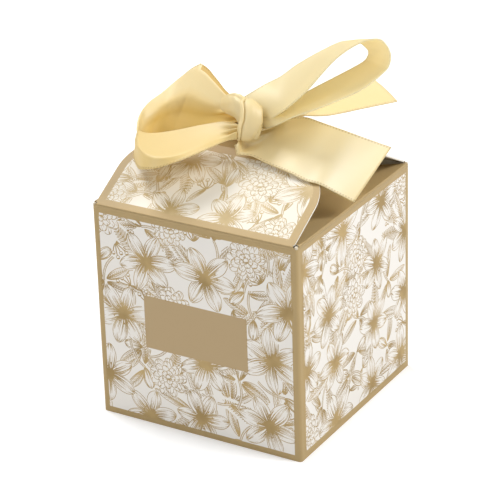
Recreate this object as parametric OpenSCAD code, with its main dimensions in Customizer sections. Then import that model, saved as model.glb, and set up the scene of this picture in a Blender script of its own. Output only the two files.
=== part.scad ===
// Favor box: a square carton on a hinged base, two printed lid flaps that lean together
// in a ridge over a pair of dust flaps, and a satin bow tied through the two ridge tabs.
// Millimetres. Origin: centre of the base, on the ground. Front is -Y, up is +Z.

/* [Body] */
// outside width and depth of the square body
body_w = 65; // [62:1:68]
// height of the walls up to the top creases
body_h = 65; // [60:1:70]
// thickness of the card
card_t = 0.45; // [0.4:0.05:0.5]
// outside radius of the four upright creases
crease_r = 0.9; // [0.8:0.1:1.2]
// running gap left at every crease that turns
crease_gap = 0.05; // [0.05:0.01:0.08]
// side gap between a folded-in sheet and the wall beside it
sheet_gap = 0.1; // [0.1:0.05:0.2]
// how far the glued tab reaches along the back wall
glue_reach = 10; // [8:1:14]
// how far the glued tab stays clear of the top and bottom creases
glue_clear = 3; // [2.5:0.5:5]

/* [Lid] */
// slope of the lid flaps above level, degrees
lid_slope = 28.5; // [26:0.5:30]
// distance from a lid flap's sides to the outside of the side walls
lid_inset = 1.1; // [1:0.1:4]
// distance from the middle of the box to the top crease of a lid flap
ridge_half = 8.2; // [7.8:0.1:9]
// radius of the two top corners of a lid flap
lid_corner_r = 14; // [10:1:16]
// small corner cut beside the hinge crease of a lid flap
lid_nick = 0.5; // [0.4:0.1:1]
// slope of the ridge tabs above level, degrees
tab_slope = 52; // [50:1:54]
// half width of a ridge tab
tab_half = 6.5; // [6:0.25:6.75]
// length of a ridge tab
tab_len = 9; // [8.5:0.25:9.25]
// corner radius at the top of a ridge tab
tab_r = 3; // [2:0.5:4]
// radius of the two ends of the ribbon slot in a ridge tab
slot_r = 1; // [0.8:0.1:1.2]
// half length of the straight part of that slot
slot_half = 2; // [1.5:0.25:2.5]
// height of the slot above the top crease, along the tab
slot_up = 4.4; // [4:0.2:5]

/* [Dust flaps] */
// fall of the two dust flaps towards the middle, degrees
side_fall = 8; // [5:1:10]
// distance from a dust flap's end to the middle of the box
side_part = 3.55; // [3:0.05:6]
// distance from the end of a dust flap to the outside of the front or back wall, at its crease
side_inset = 1.4; // [1.4:0.2:4]
// taper of each side of a dust flap, degrees
side_taper = 19; // [17:1:25]
// corner radius of a dust flap
side_r = 6; // [4:0.5:8]

/* [Base] */
// height of the tuck tab
tuck_h = 12; // [10:0.5:13]
// distance from each end of the tuck tab to the outside of the side walls
tuck_inset = 6.5; // [4.5:0.5:10]
// lean of the tuck tab into the box, degrees
tuck_lean = 11; // [11:0.5:13]
// corner radius of the tuck tab
tuck_r = 6; // [4:0.5:8]
// distance from the end of a base dust flap to the middle of the box
floor_part = 9.7; // [8:0.1:14]
// gap between the base panel and the base dust flaps above it
floor_gap = 0.3; // [0.25:0.05:0.5]
// distance from a base dust flap to the outside of the front wall
floor_front = 5; // [4.5:0.5:8]
// distance from a base dust flap to the outside of the back wall, at its crease
floor_back = 2; // [2:0.5:4]

/* [Bow] */
// width of the satin ribbon, which also sizes the bow
ribbon_w = 20; // [19:0.5:20]
// thickness of the ribbon strips as solids
ribbon_t = 0.6; // [0.5:0.05:0.7]
// knot centre to the right of the middle
knot_x = 4.5; // [4:0.25:5]
// knot centre behind the top crease of the front lid flap
knot_y = 0.8; // [0.6:0.1:1]
// knot centre above that crease
knot_z = 8.8; // [8.6:0.1:9.4]
// turn of the knot about the upright line, degrees
knot_turn = 31; // [28:1:34]
// lean of the knot away from the front, degrees
knot_lean = 25; // [22:1:28]
// width of the band wrapped round the knot
wrap_w = 5.4; // [5:0.2:5.8]
// thickness of that band
wrap_t = 0.7; // [0.6:0.05:0.8]
// half height and half depth of the inside of the band
wrap_up = 5.9; // [5.6:0.1:6.1]
wrap_out = 3.5; // [3.3:0.1:3.6]
// sideways lean of the band, as a share of its height
wrap_lean_share = 0.12; // [0:0.02:0.2]
// how much narrower the band is at the back of the knot, as a share of its width
wrap_back_share = 0.5; // [0.3:0.05:0.6]
// gap between the two threaded ribbon runs at the ridge
thread_gap = 0.4; // [0.3:0.05:0.6]
// side gap round a threaded run in its slot
thread_fit = 0.05; // [0.03:0.01:0.08]

/* [Hidden] */
$fn = 48;

half_w = body_w / 2;
half_t = card_t / 2;
// inside face of the walls
inner = half_w - card_t;
// crease lines run in the middle of the card
crease_at = half_w - half_t;
wall_top = body_h - half_t - crease_gap;
card = [0.66, 0.53, 0.36];
print = [0.94, 0.92, 0.88];
satin = [0.93, 0.85, 0.62];
cut = 2 * body_w;
lid_half = half_w - lid_inset;
// length of a lid flap from its hinge crease to its top crease
lid_len = (crease_at - ridge_half) / cos(lid_slope);
side_reach = (crease_at - side_part) / cos(side_fall);
tuck_half = half_w - tuck_inset;
// top crease of the front lid flap
ridge_y = -ridge_half;
ridge_z = body_h + lid_len * sin(lid_slope);
knot = [knot_x, ridge_y + knot_y, ridge_z + knot_z];
floor_in = inner - sheet_gap;
floor_axis_x = inner - half_t - sheet_gap;
floor_axis_z = card_t + floor_gap + half_t;
floor_reach = floor_axis_x - floor_part;

// Rims of the bow's strips, from the knot outwards and round, as shares of the ribbon's
// width from the knot's centre. The near rim is first.
right_near_shares = [[0.2, 0.08, 0], [0.42, 0.05, 0.17], [0.62, 0.02, 0.34],
    [0.84, 0.08, 0.57], [1.14, 0.33, 0.98], [1.42, 0.5, 1.2], [1.67, 0.55, 1.28],
    [1.8, 0.54, 1.22], [1.87, 0.52, 1.11], [1.88, 0.48, 1], [1.82, 0.43, 0.88],
    [1.55, 0.28, 0.63], [1.19, 0.09, 0.44], [0.92, 0.01, 0.31], [0.62, -0.02, 0.18],
    [0.26, -0.06, 0]];
right_far_shares = [[0.08, 0.22, 0.12], [0.06, 0.46, 0.36], [0.08, 0.68, 0.43],
    [0.23, 0.9, 0.56], [0.5, 1.07, 0.74], [0.78, 1.19, 0.89], [1.02, 1.21, 0.91],
    [1.12, 1.2, 0.88], [1.18, 1.2, 0.82], [1.19, 1.16, 0.75], [1.12, 1.12, 0.66],
    [0.84, 0.98, 0.48], [0.53, 0.83, 0.29], [0.38, 0.64, 0.19], [0.3, 0.42, 0.08],
    [0.16, 0.1, -0.02]];
// the left loop has a third rim: the crease of the lip that hangs along its near side
left_lip_shares = [[0, -0.22, -0.12], [-0.2, -0.4, -0.24], [-0.36, -0.68, -0.31],
    [-0.58, -0.92, -0.38], [-0.86, -1.06, -0.45], [-1.06, -1.08, -0.5],
    [-1.22, -0.98, -0.55], [-1.46, -0.7, -0.55], [-1.64, -0.44, -0.5],
    [-1.72, -0.18, -0.5], [-1.65, 0.08, -0.5], [-1.42, 0.22, -0.48],
    [-1.12, 0.24, -0.42], [-0.8, 0.2, -0.31], [-0.48, 0.08, -0.13],
    [-0.14, 0.02, -0.02]];
left_fold_shares = [[-0.02, -0.17, -0.12], [-0.19, -0.41, -0.17], [-0.36, -0.67, -0.21],
    [-0.6, -0.9, -0.26], [-0.87, -1.02, -0.31], [-1.1, -0.98, -0.32],
    [-1.34, -0.8, -0.33], [-1.58, -0.52, -0.38], [-1.7, -0.26, -0.4],
    [-1.73, 0, -0.39], [-1.64, 0.24, -0.35], [-1.4, 0.38, -0.27], [-1.08, 0.34, -0.24],
    [-0.76, 0.28, -0.16], [-0.43, 0.16, -0.02], [-0.14, 0.06, 0.06]];
left_far_shares = [[-0.08, -0.1, -0.04], [-0.36, -0.11, -0.03], [-0.72, -0.19, -0.12],
    [-1.04, -0.26, -0.22], [-1.34, -0.34, -0.29], [-1.54, -0.36, -0.31],
    [-1.68, -0.28, -0.29], [-1.79, -0.04, -0.2], [-1.82, 0.24, -0.13],
    [-1.72, 0.48, -0.03], [-1.57, 0.72, 0.13], [-1.29, 0.82, 0.35], [-0.93, 0.61, 0.27],
    [-0.61, 0.42, 0.2], [-0.32, 0.27, 0.16], [-0.1, 0.1, 0.14]];
front_near_shares = [[0.02, -0.12, -0.22], [-0.06, -0.17, -0.38], [0.12, -0.2, -0.42],
    [0.33, -0.22, -0.46], [0.55, -0.26, -0.48], [0.77, -0.3, -0.5], [1.03, -0.35, -0.54],
    [1.27, -0.39, -0.56], [1.45, -0.25, -0.69], [1.62, -0.07, -0.85]];
front_far_shares = [[0.13, 0.02, -0.06], [0.19, 0.17, -0.07], [0.29, 0.4, -0.07],
    [0.43, 0.52, -0.05], [0.57, 0.57, -0.05], [0.77, 0.57, -0.08], [1.01, 0.57, -0.11],
    [1.25, 0.57, -0.15], [1.49, 0.69, -0.26], [1.7, 0.87, -0.39]];
back_near_shares = [[0.12, 0.08, -0.02], [0.18, 0.28, -0.05], [0.22, 0.5, -0.1],
    [0.36, 0.74, -0.14], [0.62, 1.1, -0.19], [0.92, 1.54, -0.19], [1.22, 1.98, -0.19]];
back_far_shares = [[0, 0.16, 0.1], [-0.02, 0.34, 0.06], [0.03, 0.6, 0],
    [0.1, 0.98, -0.06], [0.22, 1.52, -0.12], [0.35, 2.06, -0.14], [0.5, 2.5, -0.12]];

// Rings of the knot's core, as shares of the ribbon's width:
// place along the knot, rise of the ring's middle, half height, half depth.
core_shares = [[-0.37, 0.2, 0.06, 0.05], [-0.33, 0.18, 0.18, 0.11], [-0.25, 0.1, 0.24, 0.14],
    [-0.15, 0.02, 0.27, 0.15], [0, 0, 0.28, 0.16], [0.15, 0, 0.27, 0.15],
    [0.24, 0.02, 0.24, 0.14], [0.31, 0.05, 0.16, 0.1], [0.34, 0.06, 0.06, 0.04]];
core_sides = 20;
wrap_sides = 30;
bow_steps = 3;

function bend(a, b, c, d, u) =
    (2 * b + (c - a) * u + (2 * a - 5 * b + 4 * c - d) * u * u
     + (3 * b - a - 3 * c + d) * u * u * u) / 2;

function rim(t, m) = concat(
    [for (i = [0 : len(t) - 2]) for (k = [0 : m - 1])
        bend(i == 0 ? 2 * t[0] - t[1] : t[i - 1], t[i], t[i + 1],
             i == len(t) - 2 ? 2 * t[i + 1] - t[i] : t[i + 2], k / m)],
    [t[len(t) - 1]]);

function unit(v) = v / norm(v);

// a strip of ribbon through two or three rims, closed all round
module strip(rims) {
    g = [for (t = rims) [for (p = rim(t, bow_steps)) knot + ribbon_w * p]];
    c = len(g);
    n = len(g[0]);
    face = [for (i = [0 : c - 1]) for (j = [0 : n - 1])
        unit(cross(g[i][min(j + 1, n - 1)] - g[i][max(j - 1, 0)],
                   g[min(i + 1, c - 1)][j] - g[max(i - 1, 0)][j]))];
    top = [for (i = [0 : c - 1]) for (j = [0 : n - 1]) g[i][j] + face[i * n + j] * ribbon_t / 2];
    low = [for (i = [0 : c - 1]) for (j = [0 : n - 1]) g[i][j] - face[i * n + j] * ribbon_t / 2];
    m = c * n;
    e = (c - 1) * n;
    polyhedron(points = concat(top, low), faces = concat(
        [for (i = [0 : c - 2]) for (j = [0 : n - 2])
            [i * n + j, (i + 1) * n + j, (i + 1) * n + j + 1]],
        [for (i = [0 : c - 2]) for (j = [0 : n - 2])
            [i * n + j, (i + 1) * n + j + 1, i * n + j + 1]],
        [for (i = [0 : c - 2]) for (j = [0 : n - 2])
            [m + i * n + j, m + (i + 1) * n + j + 1, m + (i + 1) * n + j]],
        [for (i = [0 : c - 2]) for (j = [0 : n - 2])
            [m + i * n + j, m + i * n + j + 1, m + (i + 1) * n + j + 1]],
        [for (j = [0 : n - 2]) [j, j + 1, m + j + 1]],
        [for (j = [0 : n - 2]) [j, m + j + 1, m + j]],
        [for (j = [0 : n - 2]) [e + j + 1, e + j, m + e + j]],
        [for (j = [0 : n - 2]) [e + j + 1, m + e + j, m + e + j + 1]],
        [for (i = [0 : c - 2]) [(i + 1) * n, i * n, m + i * n]],
        [for (i = [0 : c - 2]) [(i + 1) * n, m + i * n, m + (i + 1) * n]],
        [for (i = [0 : c - 2]) [i * n + n - 1, (i + 1) * n + n - 1, m + (i + 1) * n + n - 1]],
        [for (i = [0 : c - 2]) [i * n + n - 1, m + (i + 1) * n + n - 1, m + i * n + n - 1]]));
}

module at_knot() {
    translate(knot) rotate([0, 0, knot_turn]) rotate([-knot_lean, 0, 0]) children();
}

// lies flat on the hinge line, reaching away along +Y, then turns up by the slope
module at_lid(back = false) {
    rotate([0, 0, back ? 180 : 0])
        translate([0, -crease_at, body_h]) rotate([lid_slope, 0, 0]) children();
}

module at_tab(back = false) {
    at_lid(back) translate([0, lid_len, 0]) rotate([tab_slope - lid_slope, 0, 0]) children();
}

// a dust flap's own frame: hinge along Y, reaching along +X, fall included
module at_side(right = false) {
    rotate([0, 0, right ? 180 : 0])
        translate([-crease_at, 0, body_h]) rotate([0, side_fall, 0]) children();
}

// card bead along a crease, of a given half length
module bead_x(h) {
    translate([-h, 0, 0]) rotate([0, 90, 0]) cylinder(r = half_t, h = 2 * h);
}

module bead_y(h) {
    translate([0, h, 0]) rotate([90, 0, 0]) cylinder(r = half_t, h = 2 * h);
}

// flat sheet in the middle of the card's thickness
module sheet(w, l) {
    translate([-w, 0, -half_t]) cube([2 * w, l, card_t]);
}

// the sleeve with its four upright creases
module sleeve() {
    difference() {
        union() {
            translate([-half_w + crease_r, -half_w, 0])
                cube([body_w - 2 * crease_r, body_w, wall_top]);
            translate([-half_w, -half_w + crease_r, 0])
                cube([body_w, body_w - 2 * crease_r, wall_top]);
            for (x = [-1, 1]) for (y = [-1, 1])
                translate([x * (half_w - crease_r), y * (half_w - crease_r), 0])
                    cylinder(r = crease_r, h = wall_top);
        }
        translate([-inner + crease_r - card_t, -inner, -card_t])
            cube([2 * (inner - crease_r + card_t), 2 * inner, cut]);
        translate([-inner, -inner + crease_r - card_t, -card_t])
            cube([2 * inner, 2 * (inner - crease_r + card_t), cut]);
        for (x = [-1, 1]) for (y = [-1, 1])
            translate([x * (half_w - crease_r), y * (half_w - crease_r), -card_t])
                cylinder(r = crease_r - card_t, h = cut);
    }
}

// one quarter of the sleeve, parted at the middle of the upright creases
module quarter(turn) {
    intersection() {
        sleeve();
        rotate([0, 0, turn])
            linear_extrude(height = cut)
                polygon([[0, 0], [-body_w, -body_w], [body_w, -body_w]]);
    }
}

module wall_front() {
    color(print) quarter(0);
}

module wall_right() {
    color(print) quarter(90);
}

// the back wall stops short of the base panel, which turns on its bottom crease
module wall_back() {
    color(print) difference() {
        quarter(180);
        translate([-inner, inner - card_t, -card_t])
            cube([2 * inner, 3 * card_t, 2 * card_t + crease_gap]);
    }
}

module wall_left() {
    color(print) quarter(270);
}

// folded off the left wall and glued inside the back wall
module glue_tab() {
    color(card) translate([-inner, inner, 0]) rotate([90, 0, 0])
        linear_extrude(height = card_t)
            polygon([[crease_r, glue_clear],
                     [glue_reach, 2 * glue_clear],
                     [glue_reach, body_h - 2 * glue_clear],
                     [crease_r, body_h - glue_clear]]);
}

module base_panel() {
    color(card) union() {
        translate([-floor_in, -floor_in + card_t, 0])
            cube([2 * floor_in, floor_in + crease_at - card_t, card_t]);
        translate([0, crease_at, half_t]) bead_x(floor_in);
        translate([0, -floor_in + card_t, half_t]) bead_x(tuck_half);
    }
}

// the tuck tab goes up behind the front wall and leans in, so it clears that wall as it turns
module base_tuck_tab() {
    color(card) difference() {
        translate([0, -floor_in + card_t, half_t]) rotate([90 - tuck_lean, 0, 0]) union() {
            sheet(tuck_half, tuck_h - tuck_r);
            sheet(tuck_half - tuck_r, tuck_h);
            for (x = [-1, 1])
                translate([x * (tuck_half - tuck_r), tuck_h - tuck_r, -half_t])
                    cylinder(r = tuck_r, h = card_t);
        }
        translate([0, -floor_in + card_t, half_t]) bead_x(body_w);
        translate([-body_w, -body_w, -body_w])
            cube([2 * body_w, 2 * body_w, body_w + card_t]);
    }
}

// hinge along Y, reaching along +X; the back side runs off at 45 degrees so that the flap
// stays above the base panel as both turn down
module floor_flap() {
    translate([-floor_axis_x, 0, floor_axis_z]) union() {
        translate([0, 0, -half_t]) linear_extrude(height = card_t)
            polygon([[0, -half_w + floor_front],
                     [floor_reach, -half_w + floor_front + floor_back],
                     [floor_reach, half_w - floor_back - floor_reach],
                     [0, half_w - floor_back]]);
        translate([0, (floor_front - floor_back) / 2, 0])
            bead_y(half_w - (floor_front + floor_back) / 2);
    }
}

module base_flap_left() {
    color(card) floor_flap();
}

module base_flap_right() {
    color(card) mirror([1, 0, 0]) floor_flap();
}

// a lid flap: nicked beside the hinge crease, large round corners, a bead at each crease
module lid_flap() {
    union() {
        difference() {
            union() {
                sheet(lid_half, lid_len - lid_corner_r);
                sheet(lid_half - lid_corner_r, lid_len);
                for (x = [-1, 1])
                    translate([x * (lid_half - lid_corner_r), lid_len - lid_corner_r, -half_t])
                        cylinder(r = lid_corner_r, h = card_t);
            }
            translate([-body_w, -body_w, -card_t]) cube([2 * body_w, body_w, 2 * card_t]);
            for (x = [-1, 1])
                translate([x * lid_half, 0, -card_t]) rotate([0, 0, 45])
                    translate([-lid_nick, -lid_nick, 0])
                        cube([2 * lid_nick, 2 * lid_nick, 2 * card_t]);
        }
        bead_x(lid_half - 2 * lid_nick);
        translate([0, lid_len, 0]) bead_x(lid_half - lid_corner_r);
    }
}

// the ribbon slot through a ridge tab, in the tab's own frame
module slot(r) {
    translate([0, slot_up, 0]) {
        for (x = [-1, 1])
            translate([x * slot_half, 0, -card_t]) cylinder(r = r, h = 2 * card_t);
        translate([-slot_half, -r, -card_t]) cube([2 * slot_half, 2 * r, 2 * card_t]);
    }
}

// a ridge tab: it starts at the top crease's bead and has a slot for the ribbon
module ridge_tab() {
    difference() {
        union() {
            sheet(tab_half, tab_len - tab_r);
            sheet(tab_half - tab_r, tab_len);
            for (x = [-1, 1])
                translate([x * (tab_half - tab_r), tab_len - tab_r, -half_t])
                    cylinder(r = tab_r, h = card_t);
        }
        bead_x(body_w);
        rotate([lid_slope - tab_slope, 0, 0])
            translate([-body_w, -body_w, -body_w / 2]) cube([2 * body_w, body_w, body_w]);
        slot(slot_r);
    }
}

module lid_front() {
    color(print) at_lid() lid_flap();
}

module lid_front_tab() {
    color(card) at_tab() ridge_tab();
}

module lid_back() {
    color(print) at_lid(true) lid_flap();
}

module lid_back_tab() {
    color(card) at_tab(true) ridge_tab();
}

// the short run of gathered ribbon through one tab's slot, level, up to the ridge's middle
module thread(back) {
    rise = slot_up * sin(tab_slope);
    run = slot_up * cos(tab_slope);
    r = slot_r * sin(tab_slope) - thread_fit;
    w = slot_half;
    rotate([0, 0, back ? 180 : 0])
        translate([0, ridge_y + run - card_t, ridge_z + rise]) union() {
            for (x = [-1, 1])
                translate([x * w, 0, 0]) rotate([-90, 0, 0])
                    cylinder(r = r, h = -ridge_y - run + card_t - thread_gap / 2);
            translate([-w, 0, -r])
                cube([2 * w, -ridge_y - run + card_t - thread_gap / 2, 2 * r]);
        }
}

module thread_front() {
    color(satin) thread(false);
}

module thread_back() {
    color(satin) thread(true);
}

// hinge along Y, reaching along +X
module side_flap() {
    lean = side_reach * tan(side_taper);
    base = half_w - side_inset;
    union() {
        linear_extrude(height = card_t, center = true)
            polygon([[0, -base], [side_reach - side_r, -base + lean * (1 - side_r / side_reach)],
                     [side_reach - side_r, base - lean * (1 - side_r / side_reach)], [0, base]]);
        for (y = [-1, 1])
            translate([side_reach - side_r, y * (base - lean - side_r), -half_t])
                cylinder(r = side_r, h = card_t);
        translate([side_reach - side_r, -base + lean + side_r, -half_t])
            cube([side_r, 2 * (base - lean - side_r), card_t]);
        translate([side_reach - 2 * side_r, -base + lean, -half_t])
            cube([side_r, 2 * (base - lean), card_t]);
        bead_y(base);
    }
}

module side_flap_left() {
    color(card) at_side() side_flap();
}

module side_flap_right() {
    color(card) at_side(true) side_flap();
}

// the gathered middle of the ribbon, a lump of stacked rings along the knot
module knot_core() {
    n = core_sides;
    k = len(core_shares);
    color(satin) at_knot() polyhedron(
        points = [for (s = core_shares) for (i = [0 : n - 1])
            ribbon_w * [s[0], s[3] * sin(360 * i / n), s[1] + s[2] * cos(360 * i / n)]],
        faces = concat(
            [for (j = [0 : k - 2]) for (i = [0 : n - 1])
                [j * n + i, j * n + (i + 1) % n, (j + 1) * n + (i + 1) % n]],
            [for (j = [0 : k - 2]) for (i = [0 : n - 1])
                [j * n + i, (j + 1) * n + (i + 1) % n, (j + 1) * n + i]],
            [[for (i = [0 : n - 1]) n - 1 - i]],
            [[for (i = [0 : n - 1]) (k - 1) * n + i]]));
}

// the band wrapped over the knot, leaning a little to the left below
module knot_wrap() {
    n = wrap_sides;
    edge = [[-wrap_w / 2, 0], [wrap_w / 2, 0], [wrap_w / 2, wrap_t], [-wrap_w / 2, wrap_t]];
    color(satin) at_knot() polyhedron(
        points = [for (i = [0 : n - 1]) for (e = edge)
            [e[0] * (1 - wrap_back_share * max(0, sin(360 * i / n)))
                 + wrap_lean_share * (wrap_up + e[1]) * cos(360 * i / n),
             (wrap_out + e[1]) * sin(360 * i / n),
             (wrap_up + e[1]) * cos(360 * i / n)]],
        faces = concat(
            [for (i = [0 : n - 1]) for (q = [0 : 3])
                [4 * i + q, 4 * i + (q + 1) % 4, 4 * ((i + 1) % n) + (q + 1) % 4]],
            [for (i = [0 : n - 1]) for (q = [0 : 3])
                [4 * i + q, 4 * ((i + 1) % n) + (q + 1) % 4, 4 * ((i + 1) % n) + q]]));
}

module loop_left() {
    color(satin) strip([left_lip_shares, left_fold_shares, left_far_shares]);
}

module loop_right() {
    color(satin) strip([right_near_shares, right_far_shares]);
}

module tail_front() {
    color(satin) strip([front_near_shares, front_far_shares]);
}

module tail_back() {
    color(satin) strip([back_near_shares, back_far_shares]);
}

wall_front();
wall_right();
wall_back();
wall_left();
glue_tab();
base_panel();
base_tuck_tab();
base_flap_left();
base_flap_right();
lid_front();
lid_front_tab();
lid_back();
lid_back_tab();
side_flap_left();
side_flap_right();
thread_front();
thread_back();
knot_core();
knot_wrap();
loop_left();
loop_right();
tail_front();
tail_back();
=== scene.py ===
import math

import bpy
import numpy as np
from mathutils import Matrix


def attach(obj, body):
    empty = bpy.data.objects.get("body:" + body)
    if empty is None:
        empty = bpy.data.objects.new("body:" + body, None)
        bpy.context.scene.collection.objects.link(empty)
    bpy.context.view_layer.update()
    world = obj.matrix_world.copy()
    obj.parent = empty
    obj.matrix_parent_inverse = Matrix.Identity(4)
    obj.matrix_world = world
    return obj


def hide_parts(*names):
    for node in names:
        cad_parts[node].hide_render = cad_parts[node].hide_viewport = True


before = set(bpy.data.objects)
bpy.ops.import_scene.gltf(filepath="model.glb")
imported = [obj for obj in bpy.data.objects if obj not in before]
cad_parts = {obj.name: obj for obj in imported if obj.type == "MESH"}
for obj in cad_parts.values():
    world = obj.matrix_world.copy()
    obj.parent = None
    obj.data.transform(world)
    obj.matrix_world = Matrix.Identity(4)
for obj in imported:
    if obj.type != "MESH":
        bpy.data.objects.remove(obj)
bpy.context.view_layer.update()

# Camera. The columns are its right, up and back axes and its place. A scratch script solved
# them and the lens, in mm for a film 36 mm wide, from six of the box's corners in the photo.
camera = bpy.data.objects.new("camera", bpy.data.cameras.new("camera"))
bpy.context.scene.collection.objects.link(camera)
camera.data.lens = 171.2
camera.data.sensor_width = 36
camera.data.clip_start = 0.05
camera.data.clip_end = 20
camera.matrix_world = Matrix((
    (0.86180, -0.19305, 0.46907, 0.31554),
    (0.50648, 0.37813, -0.77491, -0.52394),
    (-0.02777, 0.90540, 0.42365, 0.33017),
    (0, 0, 0, 1)))
bpy.context.scene.camera = camera
bpy.context.scene.view_settings.view_transform = "Standard"

# Studio. A pale floor under a pale sky, lit by soft square panels at the left, the right and
# the front. To the camera the floor glows too, more with distance, so that it ends in white.
FLOOR_REACH = 6
FLOOR_COLOUR = (0.82, 0.82, 0.82, 1)
GLOW_NEAR, GLOW_FAR = (0.28, 0.28, 0.28, 1), (1, 1, 1, 1)
GLOW_START, GLOW_OVER = 0.25, 0.6
SKY_LIGHT, SKY_SHOWN = 0.34, 1.05


class Socket:
    """A shader socket. + - * / and the named methods add Math nodes; node() adds any other."""

    def __init__(self, tree, out=None):
        self.tree, self.out = tree, out

    def node(self, kind, pick=0, ins=None, **props):
        """Any node: its settings first, then values or links for its inputs. pick is the output."""
        made = self.tree.nodes.new(kind)
        for key, value in props.items():
            setattr(made, key, value)
        for key, value in (ins or {}).items():
            if isinstance(value, Socket):
                self.tree.links.new(value.out, made.inputs[key])
            else:
                made.inputs[key].default_value = value
        return Socket(self.tree, made.outputs[pick])

    def math(self, op, *terms):
        """A Math node of this socket and the terms."""
        ins = {i: term for i, term in enumerate((self,) + terms)}
        return self.node("ShaderNodeMath", ins=ins, operation=op)

    def __add__(self, o): return self.math("ADD", o)
    def __radd__(self, o): return self.math("ADD", o)
    def __mul__(self, o): return self.math("MULTIPLY", o)
    def __rmul__(self, o): return self.math("MULTIPLY", o)
    def __sub__(self, o): return self.math("SUBTRACT", o)
    def __rsub__(self, o): return (self * -1.0).math("ADD", o)
    def __truediv__(self, o): return self.math("DIVIDE", o)

    def clamp(self):
        """Held between 0 and 1."""
        return self.node("ShaderNodeClamp", ins={0: self})

    def rises(self, start, over):
        """0 up to start, then up to 1 within over."""
        return ((self - start) / over).clamp()

    def falls(self, stop, over):
        """1 until over is left before stop, and 0 from stop on."""
        return ((stop - self) / over).clamp()

    def mix(self, a, b):
        """Colour a where this socket is 0 and colour b where it is 1."""
        return self.node("ShaderNodeMix", 2, {0: self, 6: a, 7: b}, data_type="RGBA")

    def part(self, axis):
        """One component of a vector."""
        return self.node("ShaderNodeSeparateXYZ", axis, {0: self})


def material(name):
    """A fresh material, its first socket helper and its Principled node."""
    made = bpy.data.materials.new(name)
    made.use_nodes = True
    tree = made.node_tree
    return made, Socket(tree), tree.nodes["Principled BSDF"]


floor_mesh = bpy.data.meshes.new("floor")
floor_mesh.from_pydata([(-FLOOR_REACH, -FLOOR_REACH, 0), (FLOOR_REACH, -FLOOR_REACH, 0),
                        (FLOOR_REACH, FLOOR_REACH, 0), (-FLOOR_REACH, FLOOR_REACH, 0)],
                       [], [(0, 1, 2, 3)])
floor = bpy.data.objects.new("floor", floor_mesh)
bpy.context.scene.collection.objects.link(floor)
floor_mat, s, floor_bsdf = material("floor_white")
floor_bsdf.inputs["Base Color"].default_value = FLOOR_COLOUR
floor_bsdf.inputs["Roughness"].default_value = 0.9
floor_bsdf.inputs["Specular IOR Level"].default_value = 0.0
seen = s.node("ShaderNodeLightPath", 0)
ground = s.node("ShaderNodeTexCoord", 3)
away = s.node("ShaderNodeVectorMath", 1, {0: ground}, operation="LENGTH")
tone = away.rises(GLOW_START, GLOW_OVER).mix(GLOW_NEAR, GLOW_FAR)
glow = s.node("ShaderNodeEmission", ins={0: tone, 1: 1.0})
lit = Socket(s.tree, floor_bsdf.outputs[0])
both = s.node("ShaderNodeAddShader", ins={0: lit, 1: glow})
picked = s.node("ShaderNodeMixShader", ins={0: seen, 1: lit, 2: both})
s.tree.links.new(picked.out, s.tree.nodes["Material Output"].inputs[0])
floor_mesh.materials.append(floor_mat)

world = bpy.data.worlds.new("sky")
bpy.context.scene.world = world
world.use_nodes = True
s = Socket(world.node_tree)
sky = s.node("ShaderNodeBackground", ins={0: (1, 1, 1, 1), 1: SKY_LIGHT})
white = s.node("ShaderNodeBackground", ins={0: (1, 1, 1, 1), 1: SKY_SHOWN})
shown = s.node("ShaderNodeLightPath", 0).math("MAXIMUM", s.node("ShaderNodeLightPath", 3))
picked = s.node("ShaderNodeMixShader", ins={0: shown, 1: sky, 2: white})
world.node_tree.links.new(picked.out, world.node_tree.nodes["World Output"].inputs[0])


def panel(name, place, size, watts):
    """A square area light at place that looks at the box: its axes are side, up and away."""
    lamp = bpy.data.objects.new(name, bpy.data.lights.new(name, "AREA"))
    bpy.context.scene.collection.objects.link(lamp)
    lamp.data.size = size
    lamp.data.energy = watts
    away = np.subtract(place, (0, 0, 0.05))
    away = away / np.linalg.norm(away)
    side = np.cross((0, 0, 1), away)
    side = side / np.linalg.norm(side)
    rows = np.stack([side, np.cross(away, side), away, place], 1)
    lamp.matrix_world = Matrix([*rows.tolist(), [0, 0, 0, 1]])


panel("left_panel", (-0.65, 0.15, 1.0), 0.5, 8.6)
panel("right_panel", (0.85, 0.2, 0.85), 0.4, 9.2)
panel("front_panel", (-0.45, -1.2, 0.5), 0.5, 4.0)

# Walls. The four walls and the glue tab inside the back left corner are one die-cut sheet of
# coated card, creased at the corners and glued: white outside, with a solid tan border and,
# in front, a plain tan label. Its back and its cut edges are raw.
TAN = (0.455, 0.325, 0.15, 1)
LABEL = (0.475, 0.345, 0.185, 1)
WHITE = (0.86, 0.823, 0.768, 1)
RAW = (0.83, 0.79, 0.70, 1)
HALF = 0.0325
PRINT_EDGE = 0.00006
FIELD_LOW, FIELD_HIGH = 0.0018, 0.0627
CREASE_EDGE = 0.00003
TOP_BAND = 0.06468
FIBRES, CLOUDS = 2600.0, 90.0


def tinted(colour, factor):
    """The colour times factor, opaque."""
    return tuple(factor * c for c in colour[:3]) + (1,)


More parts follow.
